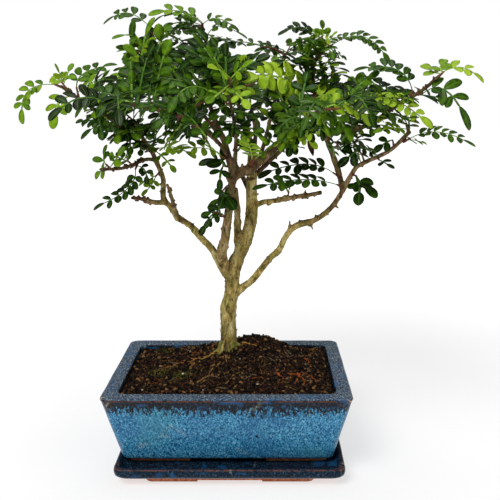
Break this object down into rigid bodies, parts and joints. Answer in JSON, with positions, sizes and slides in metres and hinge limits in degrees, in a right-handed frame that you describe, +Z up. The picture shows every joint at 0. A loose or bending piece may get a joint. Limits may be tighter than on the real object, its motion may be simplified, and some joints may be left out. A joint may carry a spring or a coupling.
{
  "type": "japanese pepper bonsai",
  "caption": "Small japanese pepper bonsai with feathery compound leaves in a blue-glazed rectangular pot, standing in its own drip saucer.",
  "frame": {"origin": "middle of the base of the whole part's box, on the surface that the saucer stands on", "axes": "+Z up, +X along the pot's long side towards the right as seen from the front, -Y towards the front"},
  "size_m": [0.361, 0.2788, 0.3773],
  "materials": {
    "pot_glaze": "mottled blue glaze over red clay, with a dark rim",
    "saucer_glaze": "dark blue glaze over a red clay foot",
    "screen_mesh": "black plastic mesh",
    "potting_soil": "crumbly peat and bark potting soil with moss",
    "bark": "grey-brown bark with green algae",
    "leaf_dark": "glossy dark green leaf",
    "leaf_mid": "satin green leaf",
    "leaf_light": "satin yellow-green young leaf"
  },
  "bodies": {
    "root": {"saucer": "saucer_glaze", "pot": "pot_glaze", "drainage_screen_left": "screen_mesh", "drainage_screen_right": "screen_mesh", "soil": "potting_soil", "tree_wood": "bark", "spray_far_left_arch": "leaf_dark", "spray_far_left_rosette": "leaf_light", "spray_far_left_drop": "leaf_light", "spray_far_left_rise": "leaf_mid", "spray_left_edge_dark": "leaf_dark", "spray_low_twig_left": "leaf_mid", "spray_low_twig_mid": "leaf_mid", "spray_hanging_left": "leaf_dark", "spray_low_light_left": "leaf_light", "spray_left_limb_front": "leaf_light", "spray_left_tip_dark": "leaf_dark", "spray_top_left_front": "leaf_mid", "spray_top_left_arch": "leaf_mid", "spray_peak_left": "leaf_light", "spray_peak_right": "leaf_mid", "spray_front_left_long": "leaf_mid", "spray_front_rosette": "leaf_light", "spray_front_left_light": "leaf_light", "spray_front_center_light": "leaf_light", "spray_front_right_light": "leaf_light", "spray_crown_front_big": "leaf_light", "spray_right_peak_bud": "leaf_light", "spray_right_peak_left": "leaf_dark", "spray_right_peak_front": "leaf_mid", "spray_right_peak_arch": "leaf_mid", "spray_back_peak": "leaf_mid", "spray_right_inner": "leaf_dark", "spray_right_long_light": "leaf_light", "spray_right_dark_back": "leaf_dark", "spray_right_dark_trio": "leaf_dark", "spray_far_right_light": "leaf_light", "spray_far_right_dark": "leaf_dark", "spray_right_low_arch": "leaf_mid", "spray_right_low_tip": "leaf_light", "spray_right_low_mid": "leaf_dark", "spray_left_going_upper": "leaf_dark", "spray_left_going_lower": "leaf_dark", "spray_right_hanging": "leaf_dark", "spray_right_up_mid": "leaf_dark", "spray_center_right_dark": "leaf_dark", "spray_stub_leaves": "leaf_mid", "spray_stem_left_leaf_low": "leaf_dark", "spray_stem_left_leaf_top": "leaf_dark", "spray_back_left_end": "leaf_dark", "spray_back_left_side": "leaf_dark", "spray_back_end": "leaf_dark", "spray_back_side": "leaf_mid", "spray_back_right_end": "leaf_dark", "spray_back_right_side": "leaf_mid", "spray_front_right_end": "leaf_mid", "spray_front_left_end": "leaf_dark", "spray_left_crown": "leaf_dark", "spray_left_crown_back": "leaf_dark", "spray_top_crown": "leaf_mid"}
  },
  "joints": []
}
